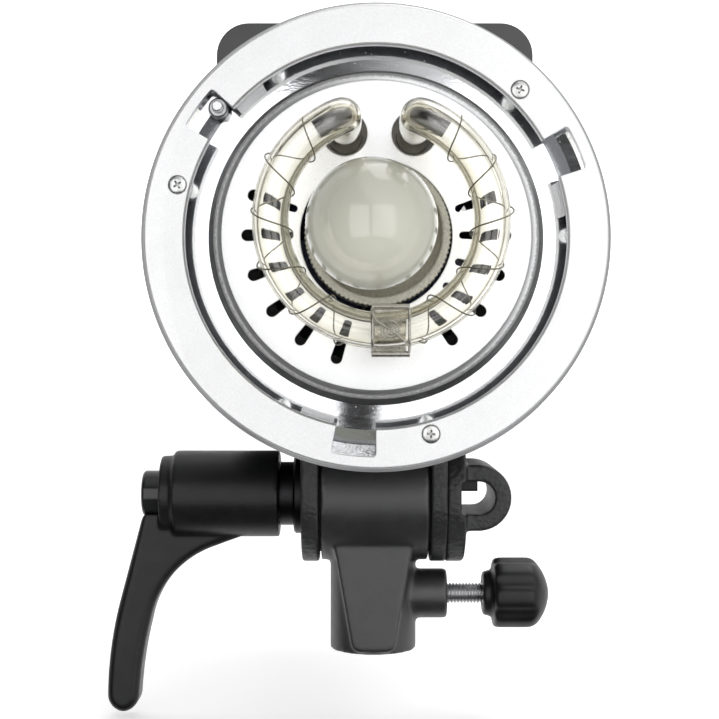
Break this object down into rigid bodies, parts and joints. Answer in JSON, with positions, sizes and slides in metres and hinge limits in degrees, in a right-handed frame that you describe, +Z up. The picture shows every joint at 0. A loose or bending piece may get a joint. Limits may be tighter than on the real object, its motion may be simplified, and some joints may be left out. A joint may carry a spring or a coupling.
{
  "type": "monolight strobe",
  "caption": "Studio flash head with a bayonet accessory mount, ring flash tube, modelling bulb, rear control panel and a tilting stand bracket.",
  "frame": {"origin": "centre of the stand socket's mouth, at the bracket's foot", "axes": "+Z up the socket, -Y out of the lamp's face, +X to the right of someone who looks at the lamp"},
  "size_m": [0.1753, 0.3382, 0.2495],
  "materials": {
    "black_casting": "satin black powder coat over cast metal",
    "black_leatherette": "grained black moulding",
    "black_plastic": "fine spark-eroded black",
    "gloss_black": "polished black plastic",
    "grey_plastic": "mid grey moulding",
    "steel": "turned steel",
    "blackened_steel": "blackened steel",
    "zinc": "bright zinc plate",
    "chrome": "bright chrome plate",
    "ring_aluminium": "fine machined aluminium, clear anodised",
    "reflector_aluminium": "bright spun aluminium",
    "brass": "turned brass",
    "clear_glass": "clear quartz with a warm coating",
    "opal_glass": "opal grey-green glass",
    "porcelain": "glazed cream porcelain",
    "ceramic": "unglazed white ceramic",
    "fibre": "pressed fibre",
    "window": "smoked clear window",
    "sensor_red": "dark red clear dome",
    "board_green": "solder-masked board",
    "can_blue": "shrink-sleeved can"
  },
  "bodies": {
    "bracket": {"bracket_casting": "black_casting", "stand_socket_liner": "steel"},
    "stand_pad": {"stand_clamp_pad": "brass"},
    "stand_screw": {"stand_clamp_screw": "steel", "stand_clamp_knob": "black_plastic"},
    "head": {"tilt_yoke": "black_leatherette", "tilt_friction_washers": "fibre", "tilt_bolt": "steel", "umbrella_holder": "black_leatherette", "umbrella_shoe_spring": "steel", "lever_flange_washer": "blackened_steel", "mount_ring": "ring_aluminium", "ring_screws": "zinc", "ring_posts": "zinc", "stop_blocks": "steel", "recess_floor": "chrome", "lock_sleeve": "steel", "lock_spring": "steel", "front_bezel": "black_casting", "reflector": "reflector_aluminium", "flash_tube": "clear_glass", "tube_electrodes": "steel", "trigger_wire": "steel", "tube_clip": "steel", "tube_sockets": "ceramic", "lamp_holder": "porcelain", "bulb_base": "brass", "bulb_glass": "opal_glass", "front_bulkhead": "black_casting", "upper_casing": "black_plastic", "lower_casing": "black_plastic", "case_screws": "zinc", "rear_panel": "grey_plastic", "display_window": "window", "sync_socket": "zinc", "slave_cell": "sensor_red", "mains_inlet": "black_plastic", "inlet_pins": "brass", "power_switch_frame": "black_plastic", "fuse_cap": "black_plastic", "fan_frame": "black_plastic", "rear_handle": "black_plastic", "flash_capacitors": "can_blue", "main_board": "board_green", "control_board": "board_green"},
    "umbrella_grip": {"umbrella_shoe": "black_plastic"},
    "lever_nut": {"lever_insert": "blackened_steel", "lever_spindle": "steel"},
    "lever": {"lever_handle": "black_plastic", "lever_end_cap": "gloss_black", "lever_spring": "steel"},
    "mount_lock": {"lock_pin": "zinc", "lock_slider": "black_plastic"},
    "key_minus": {"key_minus": "grey_plastic"},
    "key_plus": {"key_plus": "grey_plastic"},
    "key_mode": {"key_mode": "grey_plastic"},
    "key_test": {"key_test": "grey_plastic"},
    "dial": {"power_dial": "black_plastic"},
    "rocker": {"power_rocker": "gloss_black"},
    "fan": {"fan_rotor": "black_plastic"}
  },
  "joints": [
    {"name": "head_tilt", "type": "hinge", "parent": "bracket", "child": "head", "pos_m": [0, 0, 0.059], "axis": [1, 0, 0], "range_deg": [-85, 55]},
    {"name": "stand_pad_slide", "type": "slide", "parent": "bracket", "child": "stand_pad", "axis": [1, 0, 0], "range_m": [-0.002, 0.004]},
    {"name": "stand_knob_turn", "type": "hinge", "parent": "stand_pad", "child": "stand_screw", "pos_m": [0, 0, 0.0207], "axis": [1, 0, 0], "range_deg": [-1160, 580]},
    {"name": "lever_clamp", "type": "hinge", "parent": "head", "child": "lever_nut", "pos_m": [0, 0, 0.059], "axis": [1, 0, 0], "range_deg": [-90, 90]},
    {"name": "lever_lift", "type": "slide", "parent": "lever_nut", "child": "lever", "axis": [-1, 0, 0], "range_m": [0, 0.005], "stiffness_N_per_m": 1200, "springref_m": -0.004, "deforming": ["lever_spring"]},
    {"name": "umbrella_shoe_slide", "type": "slide", "parent": "head", "child": "umbrella_grip", "axis": [0, 0, 1], "range_m": [0, 0.0025], "stiffness_N_per_m": 800, "springref_m": -0.003, "deforming": ["umbrella_shoe_spring"]},
    {"name": "mount_lock_slide", "type": "slide", "parent": "head", "child": "mount_lock", "axis": [0, 1, 0], "range_m": [0, 0.005], "stiffness_N_per_m": 600, "springref_m": -0.006, "deforming": ["lock_spring"]},
    {"name": "dial_turn", "type": "hinge", "parent": "head", "child": "dial", "pos_m": [0.033, 0.146, 0.203], "axis": [0, 1, 0], "continuous": true},
    {"name": "rocker_tip", "type": "hinge", "parent": "head", "child": "rocker", "pos_m": [-0.032, 0.144, 0.137], "axis": [1, 0, 0], "range_deg": [-16, 0]},
    {"name": "fan_spin", "type": "hinge", "parent": "head", "child": "fan", "pos_m": [0.021, 0.13, 0.125], "axis": [0, 1, 0], "continuous": true},
    {"name": "key_minus_press", "type": "slide", "parent": "head", "child": "key_minus", "axis": [0, -1, 0], "range_m": [0, 0.001], "stiffness_N_per_m": 900, "springref_m": -0.001},
    {"name": "key_plus_press", "type": "slide", "parent": "head", "child": "key_plus", "axis": [0, -1, 0], "range_m": [0, 0.001], "stiffness_N_per_m": 900, "springref_m": -0.001},
    {"name": "key_mode_press", "type": "slide", "parent": "head", "child": "key_mode", "axis": [0, -1, 0], "range_m": [0, 0.001], "stiffness_N_per_m": 900, "springref_m": -0.001},
    {"name": "key_test_press", "type": "slide", "parent": "head", "child": "key_test", "axis": [0, -1, 0], "range_m": [0, 0.001], "stiffness_N_per_m": 900, "springref_m": -0.001}
  ],
  "couplings": [
    {"joint": "stand_knob_turn", "follows": "stand_pad_slide", "rad_per_m": -5026.5}
  ]
}
